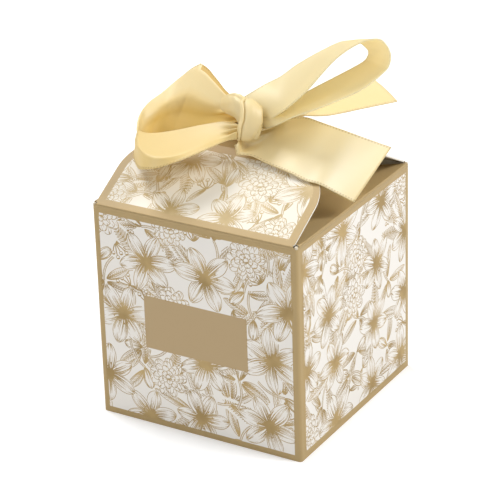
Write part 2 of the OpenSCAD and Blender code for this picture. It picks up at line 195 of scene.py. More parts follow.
def card(name, outward, faces_print=None, label=None, crease=None, blank=WHITE):
    """Card: fine grain, raw cut edges and back, tan print outside, white inside the field.
    faces_print takes the object coordinates and gives 1 in the white field, label 1 on the
    label, and crease 1 where the tan side bends round a crease. blank is the white."""
    made, s, bsdf = material(name)
    place = s.node("ShaderNodeTexCoord", 3)
    normal = s.node("ShaderNodeTexCoord", 1)
    facing = s.node("ShaderNodeVectorMath", 1, {0: normal, 1: outward}, operation="DOT_PRODUCT")
    outside = ((facing - 0.35) * 6.0).clamp()
    if crease is not None:
        outside = outside.math("MAXIMUM", crease(place))
    fibre = s.node("ShaderNodeTexNoise", ins={"Vector": place, "Scale": FIBRES, "Detail": 3.0})
    cloud = s.node("ShaderNodeTexNoise", ins={"Vector": place, "Scale": CLOUDS, "Detail": 2.0})
    colour = cloud.mix(tinted(TAN, 0.95), tinted(TAN, 1.05))
    if faces_print is not None:
        colour = faces_print(place).mix(colour, cloud.mix(tinted(blank, 0.985), blank))
    if label is not None:
        colour = label(place).mix(colour, cloud.mix(tinted(LABEL, 0.98), LABEL))
    colour = outside.mix(fibre.mix(RAW, tinted(RAW, 0.93)), colour)
    grain = s.node("ShaderNodeBump", ins={"Height": fibre, "Distance": 0.00002, "Strength": 0.35})
    s.tree.links.new(colour.out, bsdf.inputs["Base Color"])
    s.tree.links.new((0.46 + 0.08 * cloud).out, bsdf.inputs["Roughness"])
    s.tree.links.new(grain.out, bsdf.inputs["Normal"])
    bsdf.inputs["Specular IOR Level"].default_value = 0.35
    return made


def dress(node, look):
    """Gives a CAD piece one material."""
    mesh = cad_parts[node].data
    mesh.materials.clear()
    mesh.materials.append(look)


def field(across, low, high, z_low=FIELD_LOW, z_high=FIELD_HIGH):
    """1 from low to high across that axis and from z_low to z_high, with soft sides."""
    def inside(place):
        u, z = place.part(across), place.part(2)
        return (u.rises(low, PRINT_EDGE) * u.falls(high, PRINT_EDGE)
                * z.rises(z_low, PRINT_EDGE) * z.falls(z_high, PRINT_EDGE))
    return inside


def over_top(place):
    """1 on the wall's top edge, which bends over into the crease."""
    return place.part(2).rises(TOP_BAND, CREASE_EDGE)


wall_sides = (("wall_front", (0, -1, 0), field(0, -0.0305, 0.0305),
               field(0, -0.0169, 0.0163, 0.0240, 0.0403)),
              ("wall_right", (1, 0, 0), field(1, -0.0296, 0.0303, 0.0022), None),
              ("wall_back", (0, 1, 0), field(0, -0.0303, 0.0303), None),
              ("wall_left", (-1, 0, 0), field(1, -0.0303, 0.0296, 0.0022), None))
for node, outward, white_field, label in wall_sides:
    dress(node, card(node + "_card", outward, white_field, label, over_top))
dress("glue_tab", card("glue_tab_card", (0, 1, 0)))

# Line print on the walls. Tan ink on the coated card, drawn as fine tapering strokes that lie
# on its face: lilies, ranunculus heads, ferns, tulip buds and berries, a made-up design in the
# print's own scale. It lies on each wall's white field and reaches just under the tan.
STEPS = 14
TURN = 6.28  # radians, the span of the random turns
FULL = 6.283  # radians, shared by the petals of a ring
SIXTH, ELEVENTH = 1.047, 0.571  # of a turn, between a lily's petals and its stamens
GOLDEN_ANGLE, GOLDEN_SHARE = 2.4, 0.618


def around(at, radius, angle):
    """Points at that radius and angle from at."""
    return np.stack([at[0] + radius * np.cos(angle), at[1] + radius * np.sin(angle)], -1)


def beside(at, angle, along, side):
    """Points that far along a line which leaves at at that angle, and to the left of it."""
    c, s = np.cos(angle), np.sin(angle)
    return np.stack([at[0] + along * c - side * s, at[1] + along * s + side * c], -1)


class Drawing:
    """Parts from front to back in a panel's own plane, in millimetres. A part is a closed
    outline that hides what is behind it, and strokes of STEPS samples with widths, which are
    in millimetres too. Angles are in radians."""

    def __init__(self, seed):
        self.rng = np.random.default_rng(seed)
        self.parts = []

    def add(self, outline, lines, widths):
        """Puts a part behind those drawn so far."""
        self.parts.append((outline, np.array(lines), np.array(widths)))

    def blade(self, at, angle, length, width, blunt=0.5, bow=0.0, hatch=10, veins=0):
        """A petal or leaf from at. At share x of its length its half width is
        0.95 * width * x^0.75 * (1 - x)^(0.95 - 0.6 * blunt), and it is bowed sideways by
        bow * length * x^2. Hatching is drawn out from its foot, and veins off its rib."""
        rng = self.rng

        def swell(x):
            x = np.clip(x, 0, 1)
            return width * 0.5 * (x ** 0.75 * (1 - x) ** (0.95 - 0.6 * blunt)) * 1.9

        def lay(x, q):
            return beside(at, angle, length * x, q + bow * length * x * x)

        x = (0.5 - 0.5 * np.cos(np.linspace(0, np.pi, STEPS)))
        ruffle = 1 + 0.05 * np.sin(9 * x + rng.uniform(0, 6)) * blunt
        lines = [lay(x, swell(x) * ruffle), lay(x, -swell(x) * ruffle)]
        widths = [np.full(STEPS, 0.17), np.full(STEPS, 0.2)]
        outline = np.concatenate([lines[0], lines[1][::-1]])
        tail = np.linspace(0, 1, STEPS)
        for _ in range(hatch):
            f = rng.uniform(-0.9, 0.9)
            end = rng.uniform(0.3, 0.62) if rng.random() < 0.75 else rng.uniform(0.6, 0.85)
            xs = 0.03 + tail * end
            lines.append(lay(xs, f * swell(xs)))
            widths.append(0.18 * (1 - tail) ** 0.6 + 0.03)
        for _ in range(hatch // 3):
            f = rng.uniform(-0.85, 0.85)
            xs = 1 - tail * rng.uniform(0.12, 0.3) - 0.03
            lines.append(lay(xs, f * swell(xs)))
            widths.append(0.14 * (1 - tail) ** 0.6 + 0.02)
        if veins:
            lines.append(lay(tail * 0.96, 0 * tail))
            widths.append(0.24 * (1 - tail) + 0.06)
            for k in range(veins):
                start = 0.06 + 0.8 * k / veins
                for side in (-1, 1):
                    xs = start + 0.16 * tail
                    lines.append(lay(xs, side * swell(xs) * 0.92 * tail ** 0.8))
                    widths.append(0.15 * (1 - 0.7 * tail))
                    xs = start + 0.05 + 0.1 * tail
                    lines.append(lay(xs, side * swell(xs) * 0.55 * tail))
                    widths.append(0.12 * (1 - tail) + 0.02)
        self.add(outline, lines, widths)

    def disc(self, at, radius, hatch=7):
        """A berry or eye: a ring and crescents of hatching on its shaded side."""
        a = np.linspace(0, 2 * np.pi, STEPS)
        ring = around(at, radius, a)
        lines, widths = [ring], [np.full(STEPS, 0.2)]
        for k in range(hatch):
            b = np.linspace(-2.4, -0.3, STEPS) + self.rng.uniform(-0.2, 0.2)
            lines.append(around(at, radius * (0.92 - 0.5 * k / hatch), b))
            widths.append(0.15 * np.sin(np.linspace(0.1, 3.04, STEPS)))
        self.add(ring, lines, widths)

    def stem(self, a, b, bow, width=0.3):
        """A double-lined stalk from a to b, bowed sideways."""
        t = np.linspace(0, 1, STEPS)[:, None]
        a, b = np.array(a), np.array(b)
        side = np.array([-(b - a)[1], (b - a)[0]])
        mid = a + (b - a) * t + side * bow * 4 * t * (1 - t)
        gap = side / max(np.linalg.norm(side), 1e-6) * width
        lines = [mid + gap, mid - gap, mid + gap * 0.3]
        self.add(np.concatenate([lines[0], lines[1][::-1]]), lines,
                 [np.full(STEPS, 0.16), np.full(STEPS, 0.22), np.full(STEPS, 0.1)])

    def lily(self, at, radius):
        """Six pointed petals in two layers, with stamens and a dark heart of short tapering
        strokes, which are spread by the golden angle and the golden ratio."""
        rng, turn = self.rng, self.rng.uniform(0, TURN)
        lines, widths = [], []
        t = np.linspace(0, 1, STEPS)
        for k in range(11):
            a = turn + k * ELEVENTH + rng.uniform(-0.1, 0.1)
            r = radius * rng.uniform(0.22, 0.42)
            lines.append(around(at, r * t, a + 0.5 * t))
            widths.append(np.where(t > 0.86, 0.55, 0.13))
        for k in range(34):
            r = radius * (0.12 + 0.22 * (GOLDEN_SHARE * k % 1))
            lines.append(around(at, r * t, turn + GOLDEN_ANGLE * k))
            widths.append(0.75 * (1 - t) ** 0.8 + 0.04)
        self.add(np.array([at, at, at], float), lines, widths)
        for k in range(6):
            a = turn + k * SIXTH + rng.uniform(-0.08, 0.08)
            self.blade(at, a, radius * (1 - 0.06 * (k % 2)), radius * rng.uniform(0.62, 0.74),
                       0.55, rng.uniform(-0.12, 0.12), 28)
        self.parts[-6:] = self.parts[-6::2] + self.parts[-5::2]

    def ranunculus(self, at, radius):
        """Rings of short broad petals, the inner ones in front."""
        turn = self.rng.uniform(0, TURN)
        self.disc(at, radius * 0.13, 5)
        for share, count in ((0.36, 5), (0.6, 7), (0.82, 8), (1.0, 9)):
            for k in range(count):
                a = turn + share * 5 + k * FULL / count
                self.blade(at, a, radius * share, radius * share * 4.4 / count, 0.98, 0.05, 9)

    def fern(self, at, angle, length):
        """A bowed rib with pairs of small pointed leaflets, drawn as one part."""
        bow, t = self.rng.uniform(-0.25, 0.25), np.linspace(0, 1, STEPS)

        def lay(along, side):
            return beside(at, angle, along, side + bow * length * (along / length) ** 2)

        lines, widths = [lay(length * t, 0 * t)], [0.3 - 0.2 * t]
        for k in range(11):
            root = length * (0.08 + 0.08 * k)
            size = length * 0.27 * (1.02 - 0.075 * k)
            for flip in (-1, 1):
                tip_x, tip_y = root + size * 0.75, flip * size * 0.8
                for bulge in (-0.13, 0.13):
                    swell = bulge * size * np.sin(np.pi * t)
                    lines.append(lay(root + (tip_x - root) * t - swell * flip * 0.7,
                                     tip_y * t + swell * 0.7))
                    widths.append(np.full(STEPS, 0.15))
                lines.append(lay(root + (tip_x - root) * t * 0.8, tip_y * t * 0.8))
                widths.append(0.16 * (1 - t) + 0.03)
        half = length * 0.2 * np.sin(np.pi * np.clip(t, 0.05, 1)) ** 0.7
        rim = [lay(length * 1.1 * t, half), lay(length * 1.1 * t, -half)[::-1]]
        self.add(np.concatenate(rim), lines, widths)

    def tulip(self, at, angle, length):
        """A bud of three overlapping petals on a stalk, which leaves it a little to one side."""
        for turn, width in ((0, 0.5), (-0.2, 0.46), (0.2, 0.46)):
            self.blade(at, angle + turn, length * (1 - abs(turn) * 0.2), length * width, 0.6,
                       -turn * 0.5, 13)
        self.stem(at, around(at, -1.4 * length, angle + 0.2), 0.12)

    def berries(self, at, angle, length):
        """A twig with round berries at its tips."""
        for k in range(5):
            a = angle + (k - 2) * 0.42
            spot = around(at, length * (0.75 + 0.25 * (k % 2)), a)
            self.disc(spot, length * 0.13)
            self.stem(at, spot, 0.05 * (k - 2), 0.07)

    def spread(self, width, height):
        """Fills a panel: large heads first and in front, then buds, ferns, leaves and berries.
        place tries random spots and gives those that keep their distance from the others."""
        rng, taken = self.rng, []

        def place(radius, tries, gap):
            for _ in range(tries):
                spot = rng.uniform((-width / 2, 0), (width / 2, height))
                if all(np.hypot(*(spot - c)) > gap * (radius + r) for c, r in taken):
                    taken.append((spot, radius))
                    yield spot

        for spot in place(9.5, 60, 0.86):
            self.lily(spot, rng.uniform(8.6, 10.5))
        for spot in place(5.6, 120, 0.88):
            self.ranunculus(spot, rng.uniform(5.4, 6.4))
        for spot in place(3.4, 200, 0.82):
            self.tulip(spot, rng.uniform(0, TURN), rng.uniform(5.5, 7))
        heads = list(taken)
        for c, r in heads:
            for k in range(3):
                a = rng.uniform(0, TURN)
                foot = around(c, 0.35 * r, a)
                if k == 2 and r > 5:
                    self.fern(foot, a, r * 0.5 + 7.5)
                else:
                    self.blade(foot, a, r * 0.65 + 7, 4.2, 0.35, rng.uniform(-0.3, 0.3), 8, 9)
        for spot in place(2.2, 160, 0.8):
            self.berries(spot, rng.uniform(0, TURN), 4.2)
            self.blade(spot, rng.uniform(0, TURN), 6.5, 2.6, 0.35, 0.2, 5, 6)

    def hide(self):
        """Marks each stroke sample that lies inside the outline of a part in front of it: a ray
        to the right of it crosses that outline an odd number of times."""
        outlines = np.stack([np.concatenate([p[0], np.repeat(p[0][-1:], 2 * STEPS - len(p[0]), 0)])
                             for p in self.parts])
        low, high = outlines.min(1), outlines.max(1)
        a, b = outlines, np.roll(outlines, -1, 1)
        rise = np.where(np.abs(b[..., 1] - a[..., 1]) < 1e-9, 1e-9, b[..., 1] - a[..., 1])
        slant = (b[..., 0] - a[..., 0]) / rise
        seen = []
        for i, (_, lines, _) in enumerate(self.parts):
            p = lines.reshape(-1, 2)
            front = np.flatnonzero((low[:i] < p.max(0)).all(1) & (high[:i] > p.min(0)).all(1))
            x, y = p[:, 0, None], p[:, 1, None]
            hidden = np.zeros(len(p), bool)
            for f in front:
                cross = (a[f, :, 1] > y) != (b[f, :, 1] > y)
                hidden |= (cross & (x < a[f, :, 0] + (y - a[f, :, 1]) * slant[f])).sum(1) % 2 == 1
            seen.append(~hidden.reshape(lines.shape[:2]))
        self.spots = np.concatenate([p[1] for p in self.parts])
        self.thick = np.concatenate([p[2] for p in self.parts])
        self.seen = np.concatenate(seen)

    def strips(self, keep, lay):
        """Points and quads along each stroke where it is seen and keep(x, y) holds; lay(x, y, up)
        puts panel metres into the object's frame, each stroke a hair above the one before."""
        spots, thick = self.spots, self.thick
        seen = self.seen & keep(spots[..., 0], spots[..., 1])
        along = np.gradient(spots, axis=1)
        across = np.stack([-along[..., 1], along[..., 0]], -1)
        across /= np.maximum(np.linalg.norm(across, axis=-1, keepdims=True), 1e-9)
        left = spots + across * thick[..., None] / 2
        right = spots - across * thick[..., None] / 2
        flat = np.stack([left, right], 2).reshape(-1, 2)
        n, m = thick.shape
        up = np.repeat(0.00002 + 0.00002 * np.arange(n) / n, 2 * m)
        first = (np.arange(n)[:, None] * m + np.arange(m - 1)) * 2
        quad = np.stack([first + 1, first + 3, first + 2, first], -1)[seen[:, :-1] & seen[:, 1:]]
        used, back = np.unique(quad, return_inverse=True)
        points = lay(flat[used, 0] / 1000, flat[used, 1] / 1000, up[used])
        return points, back.reshape(-1, 4).tolist()


def ink_of(name, deep, pale):
    """Matt ink that varies in strength from place to place between two colours."""
    made, s, bsdf = material(name)
    place = s.node("ShaderNodeTexCoord", 3)
    fade = s.node("ShaderNodeTexNoise", ins={"Vector": place, "Scale": 160.0, "Detail": 2.0})
    tone = ((fade - 0.35) * 2.4).clamp().mix(deep, pale)
    s.tree.links.new(tone.out, bsdf.inputs["Base Color"])
    s.tree.links.new((0.42 + 0.1 * fade).out, bsdf.inputs["Roughness"])
    bsdf.inputs["Specular IOR Level"].default_value = 0.35
    return made


def drawing(seed, width, height):
    """A drawing that fills a panel of that size in mm, with its hidden strokes marked."""
    made = Drawing(seed)
    made.spread(width, height)
    made.hide()
    return made


def add_piece(name, points, faces, looks, body, smooth=True):
    """A new mesh piece at the origin, with the materials in looks, that moves with body."""
    made = bpy.data.meshes.new(name)
    made.from_pydata(points.reshape(-1, 3), [], faces)
    made.polygons.foreach_set("use_smooth", np.full(len(faces), smooth))
    for look in looks:
        made.materials.append(look)
    piece = bpy.data.objects.new(name, made)
    bpy.context.scene.collection.objects.link(piece)
    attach(piece, body)
    return piece


def print_on(name, drawn, keep, lay, body, look):
    """A drawing on a card panel, which moves with that panel's body. Ink casts no shadow."""
    points, faces = drawn.strips(keep, lay)
    piece = add_piece(name, points, faces, (look,), body, False)
    piece.visible_shadow = False
    piece.visible_diffuse = False


def wall_keep(x, y):
    """Inside the wall's own border, or within 0.6 mm of it under the tan. In mm."""
    return (np.abs(x) < 31.0) & (y > -0.4) & (y < 61.4)


def front_keep(x, y):
    """The same, and clear of the label."""
    return wall_keep(x, y) & ~((x > -16.6) & (x < 16.0) & (y > 22.5) & (y < 38.2))


def lay_wall(outward, narrow):
    """Panel metres to a wall's outer face: HALF along outward, and x times narrow to the right
    of someone who faces the wall."""
    a, b = outward

    def lay(x, y, up):
        away, right = HALF + up, x * narrow
        return np.stack([a * away - b * right, b * away + a * right, y + FIELD_LOW], 1)
    return lay


ink = ink_of("ink", (0.37, 0.25, 0.095, 1), (0.56, 0.40, 0.18, 1))
drawn_front = drawing(11, 64, 62)
drawn_side = drawing(23, 64, 62)
for side, drawn, keep, outward, narrow in (("front", drawn_front, front_keep, (0, -1), 1.0),
                                           ("right", drawn_side, wall_keep, (1, 0), 0.985),
                                           ("back", drawn_front, wall_keep, (0, 1), 1.0),
                                           ("left", drawn_side, wall_keep, (-1, 0), 0.985)):
    print_on("print_" + side, drawn, keep, lay_wall(outward, narrow), "sleeve", ink)

# Base. The panel hangs on a crease along the back wall's bottom edge, its tab tucks up behind
# the front wall, and two dust flaps lie on it from the side walls. Tan card, raw inside.
for node, outward in (("base_panel", (0, 0, -1)), ("base_tuck_tab", (0, -1, 0)),
                      ("base_flap_left", (0, 0, -1)), ("base_flap_right", (0, 0, -1))):
    dress(node, card(node + "_card", outward))

# Dust flaps. Two plain tan flaps, creased on the side walls' top edges and folded inwards
# under the lid flaps. The tan side shows all the way round the crease.
HINGE_Y, HINGE_Z = 0.032275, 0.065
CREASE_REACH = 0.00030


def near_crease(axis):
    """1 within CREASE_REACH of the two crease lines that lie across that axis."""
    def near(place):
        a, b = place.part(axis).math("ABSOLUTE") - HINGE_Y, place.part(2) - HINGE_Z
        return (a * a + b * b).math("SQRT").falls(CREASE_REACH, CREASE_EDGE)
    return near


for node in ("side_flap_left", "side_flap_right"):
    dress(node, card(node + "_card", (0, 0, 1), crease=near_crease(0)))

# Lid flaps. Printed roof panels with round top corners, creased on the front and back walls'
# top edges, each with a ridge tab creased along its top. The same card and print as the walls,
# with its white painted darker and warmer, painted shade against the light on this upward face,
# and its ink painted paler, a painted highlight.
SLOPE = math.radians(28.5)
# The lid's white: the card's white painted darker and warmer, painted shade.
LID_SHADED_WHITE = (0.79, 0.74, 0.64, 1)
LID_BORDER = 0.0020
CORNER_X, CORNER_Y, CORNER_R = 0.0174, 0.0134, 0.0116
HALF_CARD = 0.000225
TAB_OUT, TAB_UP = 0.79, 0.61


def lid_field(sign):
    """White from the border along the crease up to a rim that keeps its distance from the
    flap's round top corners: CORNER_R from the box of half width CORNER_X, CORNER_Y up."""
    def inside(place):
        x = place.part(0).math("ABSOLUTE")
        level = (HINGE_Y - sign * place.part(1)) * math.cos(SLOPE)
        along = level + (place.part(2) - HINGE_Z) * math.sin(SLOPE)
        dx = (x - CORNER_X).math("MAXIMUM", 0.0)
        dy = (along - CORNER_Y).math("MAXIMUM", 0.0)
        far = (dx * dx + dy * dy).math("SQRT")
        return far.falls(CORNER_R, PRINT_EDGE) * along.rises(LID_BORDER, PRINT_EDGE)
    return inside


def lid_keep(x, y):
    """Inside the white field with 0.5 mm to spare under the border. In mm."""
    far = np.hypot(np.maximum(np.abs(x) - 17.4, 0), np.maximum(y - 11.4, 0))
    return (far < 12.1) & (y > -0.5)


def lay_lid(sign):
    """Panel metres to the sloping outer face: y runs up the slope from the border, and up
    stands on the face, half the card's thickness above the crease."""
    def lay(x, y, up):
        along, high = y + LID_BORDER, HALF_CARD + up
        level = HINGE_Y - along * math.cos(SLOPE) + high * math.sin(SLOPE)
        return np.stack([-sign * x, sign * level,
                         HINGE_Z + along * math.sin(SLOPE) + high * math.cos(SLOPE)], 1)
    return lay


# The lid's ink: the wall ink painted paler, a painted highlight.
lid_ink = ink_of("ink_painted_lit", (0.43, 0.31, 0.13, 1), (0.62, 0.48, 0.26, 1))
drawn_lid = drawing(53, 62, 25)
for sign, node in ((-1, "lid_front"), (1, "lid_back")):
    outward = (0, sign * math.sin(SLOPE), math.cos(SLOPE))
    dress(node, card(node + "_card", outward, lid_field(sign), crease=near_crease(1),
                     blank=LID_SHADED_WHITE))
    dress(node + "_tab", card(node + "_tab_card", (0, sign * TAB_OUT, TAB_UP)))
    print_on("print_" + node, drawn_lid, lid_keep, lay_lid(sign), node, lid_ink)

# Crease rolls. The folded card along each top crease, where the wall's tan face runs up and
# over in a soft roll: its upright part stays on the wall, its round part turns with the flap.
ROLL_SKIN = 0.00002
ROLL_RADIUS = 0.000255
FOOT_HALF, BEND_HALF = 0.0316, 0.0313
DRAWN_IN = 0.72
roll_mat = card("crease_card", (0, 0, 1), crease=lambda place: place.part(2) * 0.0 + 1.0)


def quads(index, flip=False):
    """The four corners of every cell of a grid of point numbers, one row per cell."""
    corners = (index[..., :-1, :-1], index[..., 1:, :-1], index[..., 1:, 1:], index[..., :-1, 1:])
    rows = np.stack(corners, -1).reshape(-1, 4)
    return rows[:, ::-1] if flip else rows


def roll(name, turn, half, path, body):
    """A closed skin along the crease at the front, turned about Z. path holds its outer section
    as (inwards, up) of the crease line in metres, and the inner one lies the skin's thickness
    off it, square to it. The ends at x = +-half are drawn in to DRAWN_IN of it."""
    along = np.gradient(path, axis=0)
    length = np.linalg.norm(along, axis=1, keepdims=True)
    square = np.stack([along[:, 1], -along[:, 0]], 1) / length
    section = np.concatenate([path, (path + ROLL_SKIN * square)[::-1]])
    x = np.concatenate([[-1.0], np.linspace(-0.996, 0.996, 40), [1.0]]) * half
    shrink = np.where(np.abs(x) > 0.999 * half, DRAWN_IN, 1.0)
    y = -HINGE_Y + section[:, :1] * shrink
    z = HINGE_Z + np.where(section[:, 1:] < 0, section[:, 1:], section[:, 1:] * shrink)
    grid = np.stack([np.broadcast_to(x, y.shape), y, z], -1)
    c, k = math.cos(turn), math.sin(turn)
    grid = grid @ np.array([[c, k, 0], [-k, c, 0], [0, 0, 1]])
    m, n, _ = grid.shape
    index = np.arange(m * n).reshape(m, n)
    ring = np.pad(index, ((0, 1), (0, 0)), mode="wrap")
    ends = np.stack([index[:m // 2], index[::-1][:m // 2]], 1)
    faces = np.concatenate([quads(ring)[:, [0, 3, 2, 1]], quads(ends[..., 0]),
                            quads(ends[..., -1], True)])
    add_piece(name, grid, faces.tolist(), (roll_mat,), body)


upright = np.array([(-0.255, -0.9), (-0.255, -0.5), (-0.255, -0.14)]) / 1000
for side, turn, stop, flap in (("front", 0.0, 55, "lid_front"), ("back", math.pi, 55, "lid_back"),
                               ("right", math.pi / 2, 80, "dust_flap_right"),
                               ("left", -math.pi / 2, 80, "dust_flap_left")):
    bend = np.radians(np.linspace(215, stop, 33))
    roll("roll_foot_" + side, turn, FOOT_HALF, upright, "sleeve")
    curve = ROLL_RADIUS * np.stack([np.cos(bend), np.sin(bend)], 1)
    roll("roll_" + side, turn, BEND_HALF, curve, flap)

# Worn corners. Where two top creases meet, the card is bent both ways and its ink is worn off:
# a small raw bump of the same sheet at each corner. At turn a and height b the bump is
# centre + BUMP * (cos a cos b, sin a cos b, sin b), and both poles are closed by one face.
BUMP, BUMP_OUT, BUMP_UP = 0.00056, 0.0319, 0.06464
ROUND, RINGS = 24, 13
a = np.linspace(0, 2 * np.pi, ROUND, endpoint=False)[:, None]
b = np.linspace(-1.5, 1.5, RINGS)
ball = BUMP * np.stack([np.cos(a) * np.cos(b), np.sin(a) * np.cos(b), np.sin(b) + 0 * a], -1)
centres = np.array([(1, -1, 0), (1, 1, 0), (-1, 1, 0), (-1, -1, 0)]) * BUMP_OUT + (0, 0, BUMP_UP)
index = np.arange(4 * ROUND * RINGS).reshape(4, ROUND, RINGS)
poles = index[:, ::-1, 0].tolist() + index[:, :, -1].tolist()
worn = card("worn_card", (0, 0, -1), crease=lambda place: place.node(
    "ShaderNodeTexNoise", ins={"Vector": place, "Scale": 1500.0}))
add_piece("worn_corners", ball + centres[:, None, None],
          quads(np.pad(index, ((0, 0), (0, 1), (0, 0)), mode="wrap")).tolist() + poles,
          (worn,), "sleeve")

# Ribbon, right loop. The ribbon is one length of 20 mm single-faced satin, pale gold, through
# both ridge tabs and tied in a bow in front of them. This loop goes out up to the right, makes
# a round turn and comes back below. Its points are shares of the ribbon's width off the knot.
# They and those of the other rims weren't chosen by hand alone: spots and depths were picked by
# eye on the photo, a scratch script turned them into places, and some were then changed by hand.
WIDTH = 0.020
THICK = 0.00026
KNOT = np.array([0.0045, -0.0074, 0.08687])
SELVAGE_IN, SELVAGE_OUT, STITCH = 0.0007, 0.00012, 0.0009
FULL_TURN = 6.2832
STREAKS = (9000.0, 260.0, 1.0)
SAMPLES = 8
ACROSS = 73
FOLD_SHARE = 0.035
KEPT_SHARE = 0.97
PLEAT_LIMIT = 0.0016


def woven(name, low, high, deep, glow, rough, shine, lets=0.32, painted_light=None):
    """Satin weave: fine streaks along the strip's UVs in metres, a stitched selvage along both
    edges, and some light let through. low, high and deep are colours, glow the one let through.
    painted_light gives a mask on the strip's UVs and the colour painted there instead: a painted
    highlight or painted shade."""
    made, s, bsdf = material(name)
    place = s.node("ShaderNodeTexCoord", 3)
    laid = s.node("ShaderNodeTexCoord", 2)
    threads = s.node("ShaderNodeMapping", ins={"Vector": laid, "Scale": STREAKS})
    streak = s.node("ShaderNodeTexNoise", ins={"Vector": threads, "Scale": 1.0, "Detail": 2.0})
    cloud = s.node("ShaderNodeTexNoise", ins={"Vector": place, "Scale": 120.0, "Detail": 2.0})
    edge = (laid.part(0) - WIDTH / 2).math("ABSOLUTE")
    selvage = (edge.rises(WIDTH / 2 - SELVAGE_IN, SELVAGE_OUT)
               * edge.falls(WIDTH / 2 - SELVAGE_OUT, SELVAGE_OUT))
    picot = (laid.part(1) * (FULL_TURN / STITCH)).math("SINE") * 0.5 + 0.5
    base = cloud.mix(low, high)
    base = (0.3 * streak).mix(base, deep)
    # Painted light: where the mask holds, a paler colour is a painted highlight and a darker one is
    # painted shade.
    if painted_light is not None:
        mask, colour = painted_light(laid.part(0), laid.part(1))
        base = mask.mix(base, colour)
    base = (selvage * (0.12 + 0.85 * picot)).mix(base, tinted(deep, 0.62))
    height = streak + 0.6 * selvage * picot
    weave = s.node("ShaderNodeBump", ins={"Height": height, "Distance": 0.00004, "Strength": 0.5})
    s.tree.links.new(base.out, bsdf.inputs["Base Color"])
    s.tree.links.new((rough + 0.12 * streak).out, bsdf.inputs["Roughness"])
    s.tree.links.new(weave.out, bsdf.inputs["Normal"])
    bsdf.inputs["Specular IOR Level"].default_value = shine
    through = s.node("ShaderNodeBsdfTranslucent", ins={"Color": glow})
    lit = Socket(s.tree, bsdf.outputs[0])
    both = s.node("ShaderNodeMixShader", ins={0: lets, 1: lit, 2: through})
    s.tree.links.new(both.out, s.tree.nodes["Material Output"].inputs[0])
    return made


def span(along, start, rise, stop, fall):
    """1 between start and stop along the strip, with soft ends of length rise and fall."""
    return along.rises(start, rise) * along.falls(stop, fall)


def smooth_rim(points, peak=None):
    """A curve through a rim's points, SAMPLES for each: the Catmull-Rom cubic, which bends
    smoothly at every point. At the point numbered peak it runs into straight lines, a corner."""
    t = np.array(points, float)
    t = np.concatenate([2 * t[:1] - t[1:2], t, 2 * t[-1:] - t[-2:-1]])
    a, b, c, d = (t[k:len(t) - 3 + k, None] for k in range(4))
    u = np.linspace(0, 1, SAMPLES, endpoint=False)[None, :, None]
    path = (2 * b + (c - a) * u + (2 * a - 5 * b + 4 * c - d) * u ** 2
            + (3 * b - a - 3 * c + d) * u ** 3) / 2
    if peak is not None:
        u, line = u[0], b * (1 - u) + c * u
        path[peak - 1] += u ** 2 * (line[peak - 1] - path[peak - 1])
        path[peak] += (1 - u) ** 2 * (line[peak] - path[peak])
    return KNOT + WIDTH * np.concatenate([path.reshape(-1, 3), t[-2:-1]])


def facing(grid):
    """The unit normals of a grid: its slope along the strip crossed with that across it."""
    normal = np.cross(np.gradient(grid, axis=1), np.gradient(grid, axis=0))
    return normal / np.maximum(np.linalg.norm(normal, axis=-1, keepdims=True), 1e-12)


def ribbon(name, rims, breaks, gather, crown, pleats, phase, sides, peak=None, turned=None):
    """A strip between its rims: at share u of its width a point lies between the rims whose
    breaks hold u, rounded over FOLD_SHARE. It swells by crown in the open. Towards each end
    named in gather = (reach at the start, reach at the end) it is drawn up in pleats, whose
    height is found by halving, so that the strip measured over them keeps KEPT_SHARE of its
    flat width. sides holds the materials of its two faces and of the part that lies beyond
    turned = (share of width, ring)."""
    curves = np.stack([smooth_rim(r, peak) for r in rims])
    n = curves.shape[1]
    u = np.linspace(0, 1, ACROSS)
    grid = 0
    taps = np.linspace(-FOLD_SHARE, FOLD_SHARE, 7) if len(rims) > 2 else (0.0,)
    for tap in taps:
        at = np.clip(u + tap * np.minimum(1, np.minimum(u, 1 - u) / FOLD_SHARE), 0, 1)
        rows = [np.stack([np.interp(at, breaks, curves[:, j, k]) for k in range(3)], -1)
                for j in range(n)]
        grid = grid + np.stack(rows, 1) / len(taps)
    step = np.linalg.norm(np.diff(grid.mean(0), axis=0), axis=1)
    run = np.concatenate([[0], np.cumsum(step)])
    ends = ((run, gather[0]), (run[-1] - run, gather[1]))
    near = np.clip(sum(np.exp(-(far / reach) ** 2) for far, reach in ends if reach), 0, 1)
    drift = phase + 0.5 * np.sin(run / 0.011 + phase)
    v = u[:, None] + 0.04 * np.sin(2 * np.pi * u[:, None] + 5 * phase)
    wave = np.sin(2 * np.pi * pleats * v + drift) * (0.8 + 0.2 * np.sin(7 * v + 3 * phase))
    bell = crown * (1 - (2 * u - 1) ** 2)[:, None]
    out = facing(grid)
    goal = np.maximum(WIDTH * KEPT_SHARE * near, 0)

    def over(tall):
        """The strip's width measured over pleats of that height, at each ring."""
        g = grid + out * (bell * (1 - near) + tall * wave)[..., None]
        return np.linalg.norm(np.diff(g, axis=0), axis=-1).sum(0)

    low, high = np.zeros(n), np.full(n, PLEAT_LIMIT)
    for _ in range(14):
        middle = (low + high) / 2
        short = over(middle) < goal
        low, high = np.where(short, middle, low), np.where(short, high, middle)
    soften = np.hanning(15)[1:-1] / np.hanning(15).sum()
    tall = np.convolve(np.pad(low, 6, mode="edge"), soften, "valid")
    grid = grid + out * (bell * (1 - near) + tall * wave)[..., None]
    normal = facing(grid)
    half = THICK / 2 * (1 + 0.5 * (np.abs(2 * u - 1) > 0.95))[:, None, None]
    shell = np.stack([grid + normal * half, grid - normal * half])
    return closed_sheet(name, shell, run, u, sides, turned)


def lay_flat(mesh, corners, across, along):
    """A UV map in metres: each face corner's place across and along the strip."""
    flat = np.stack(np.broadcast_arrays(across, along), -1)
    layer = mesh.uv_layers.new(name="flat")
    layer.data.foreach_set("uv", flat.reshape(-1, 2)[corners.reshape(-1)].reshape(-1))


